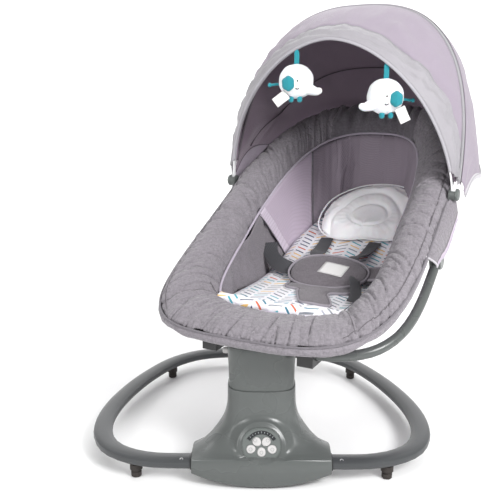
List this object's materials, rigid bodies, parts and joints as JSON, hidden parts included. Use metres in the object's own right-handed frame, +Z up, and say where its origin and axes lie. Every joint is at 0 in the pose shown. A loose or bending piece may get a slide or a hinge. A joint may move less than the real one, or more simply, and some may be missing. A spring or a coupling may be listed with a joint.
{
  "type": "baby swing",
  "caption": "Padded baby swing seat with a folding canopy and hanging toys, carried by a curved hoop on a motor pedestal with a flat oval floor loop.",
  "frame": {"origin": "on the floor, on the vertical axis that the seat swings about, under the pedestal's rubber pad", "axes": "+Z up; -Y is the side with the control panel; +X is to the right when facing the control panel"},
  "size_m": [0.7788, 0.7946, 0.8213],
  "materials": {
    "tube_grey": "semi-gloss powder coat",
    "plastic_grey": "semi-gloss moulded",
    "plastic_dark": "fine texture",
    "plastic_pale": "plain moulded",
    "plastic_white": "flat flexible bow, sewn into white tape",
    "button_pearl": "pearl",
    "rubber_dark": "matt",
    "steel": "machined",
    "display_black": "polished, dark",
    "board_green": "solder mask",
    "heather_fabric": "woven heather, padded",
    "lilac_mesh": "open mesh and plain weave",
    "white_fabric": "soft knit with small coloured dashes",
    "strap_web": "flat woven webbing",
    "board_fibre": "stiff pressed fibre board"
  },
  "bodies": {
    "base": {"base_tube_left": "tube_grey", "base_tube_right": "tube_grey", "foot_front_left": "rubber_dark", "foot_front_right": "rubber_dark", "foot_rear_left": "rubber_dark", "foot_rear_right": "rubber_dark", "pedestal_front_shell": "plastic_grey", "pedestal_rear_shell": "plastic_grey", "pedestal_bottom_plate": "plastic_dark", "pedestal_floor_pad": "rubber_dark", "neck_shell": "plastic_grey", "control_fascia": "plastic_grey", "display_window": "display_black", "circuit_board": "board_green", "speaker": "plastic_dark", "dc_jack": "plastic_dark", "mount_plate": "steel", "bearing_lower": "steel", "bearing_upper": "steel", "gearbox": "plastic_pale", "drive_motor": "steel"},
    "button_bottom": {"button_bottom": "button_pearl"},
    "button_left": {"button_left": "button_pearl"},
    "button_right": {"button_right": "button_pearl"},
    "button_upper_left": {"button_upper_left": "button_pearl"},
    "button_upper_right": {"button_upper_right": "button_pearl"},
    "neck_button": {"neck_button": "button_pearl"},
    "crank": {"crank_disc": "steel"},
    "swing": {"swing_shaft": "steel", "swing_arm": "plastic_dark", "hoop_tube_left": "tube_grey", "hoop_tube_right": "tube_grey", "hub_left": "plastic_grey", "hub_right": "plastic_grey"},
    "seat": {"side_plate_left": "plastic_grey", "side_plate_right": "plastic_grey", "rim_tube": "tube_grey", "rim_pad": "heather_fabric", "seat_bag": "heather_fabric", "seat_board": "board_fibre", "liner": "white_fabric", "head_pillow": "white_fabric", "buckle_pad": "heather_fabric", "crotch_pad": "heather_fabric", "shoulder_strap_left": "strap_web", "shoulder_strap_right": "strap_web", "waist_strap_left": "strap_web", "waist_strap_right": "strap_web", "canopy_clamp_left": "plastic_grey", "canopy_clamp_right": "plastic_grey", "hinge_cap_left": "plastic_grey", "hinge_cap_right": "plastic_grey", "side_skirt_left": "heather_fabric", "side_skirt_right": "heather_fabric", "canopy_rear_panel": "lilac_mesh"},
    "canopy_mid": {"mid_bow": "plastic_white", "canopy_front_panel": "lilac_mesh"},
    "canopy_front": {"front_bow": "plastic_white"},
    "toy_left": {"toy_left": "white_fabric"},
    "toy_right": {"toy_right": "white_fabric"}
  },
  "joints": [
    {"name": "button_bottom_press", "type": "slide", "parent": "base", "child": "button_bottom", "axis": [0, 0.9455, -0.3256], "range_m": [0, 0.0012], "stiffness_N_per_m": 600, "springref_m": -0.0006},
    {"name": "button_left_press", "type": "slide", "parent": "base", "child": "button_left", "axis": [0, 0.9455, -0.3256], "range_m": [0, 0.0012], "stiffness_N_per_m": 600, "springref_m": -0.0006},
    {"name": "button_right_press", "type": "slide", "parent": "base", "child": "button_right", "axis": [0, 0.9455, -0.3256], "range_m": [0, 0.0012], "stiffness_N_per_m": 600, "springref_m": -0.0006},
    {"name": "button_upper_left_press", "type": "slide", "parent": "base", "child": "button_upper_left", "axis": [0, 0.9455, -0.3256], "range_m": [0, 0.0012], "stiffness_N_per_m": 600, "springref_m": -0.0006},
    {"name": "button_upper_right_press", "type": "slide", "parent": "base", "child": "button_upper_right", "axis": [0, 0.9455, -0.3256], "range_m": [0, 0.0012], "stiffness_N_per_m": 600, "springref_m": -0.0006},
    {"name": "neck_button_press", "type": "slide", "parent": "base", "child": "neck_button", "axis": [1, 0, 0], "range_m": [0, 0.003], "stiffness_N_per_m": 500, "springref_m": -0.001},
    {"name": "crank_turn", "type": "hinge", "parent": "base", "child": "crank", "pos_m": [0, 0.0214, 0.1645], "axis": [0, 0, 1], "range_deg": [0, 233]},
    {"name": "swing_turn", "type": "hinge", "parent": "base", "child": "swing", "pos_m": [0, 0, 0.235], "axis": [0, 0, 1], "range_deg": [0, 52.64]},
    {"name": "recline", "type": "hinge", "parent": "swing", "child": "seat", "pos_m": [0.11661, 0.23574, 0.34], "axis": [-0.8963, 0.4434, 0], "range_deg": [0, 8]},
    {"name": "canopy_mid_fold", "type": "hinge", "parent": "seat", "child": "canopy_mid", "pos_m": [0.15164, 0.30655, 0.451], "axis": [0.8963, -0.4434, 0], "range_deg": [-32.5, 0]},
    {"name": "canopy_front_fold", "type": "hinge", "parent": "canopy_mid", "child": "canopy_front", "pos_m": [0.15164, 0.30655, 0.451], "axis": [0.8963, -0.4434, 0], "range_deg": [-30.2, 0]},
    {"name": "toy_left_sway", "type": "hinge", "parent": "canopy_front", "child": "toy_left", "pos_m": [0.06652, 0.28446, 0.724], "axis": [0.8963, -0.4434, 0], "range_deg": [-20, 20]},
    {"name": "toy_right_sway", "type": "hinge", "parent": "canopy_front", "child": "toy_right", "pos_m": [0.22957, 0.21036, 0.69613], "axis": [0.8963, -0.4434, 0], "range_deg": [-20, 20]}
  ],
  "couplings": [
    {"joint": "crank_turn", "follows": "swing_turn", "ratio": 4.4195},
    {"joint": "canopy_mid_fold", "follows": "canopy_front_fold", "ratio": 1.05}
  ]
}
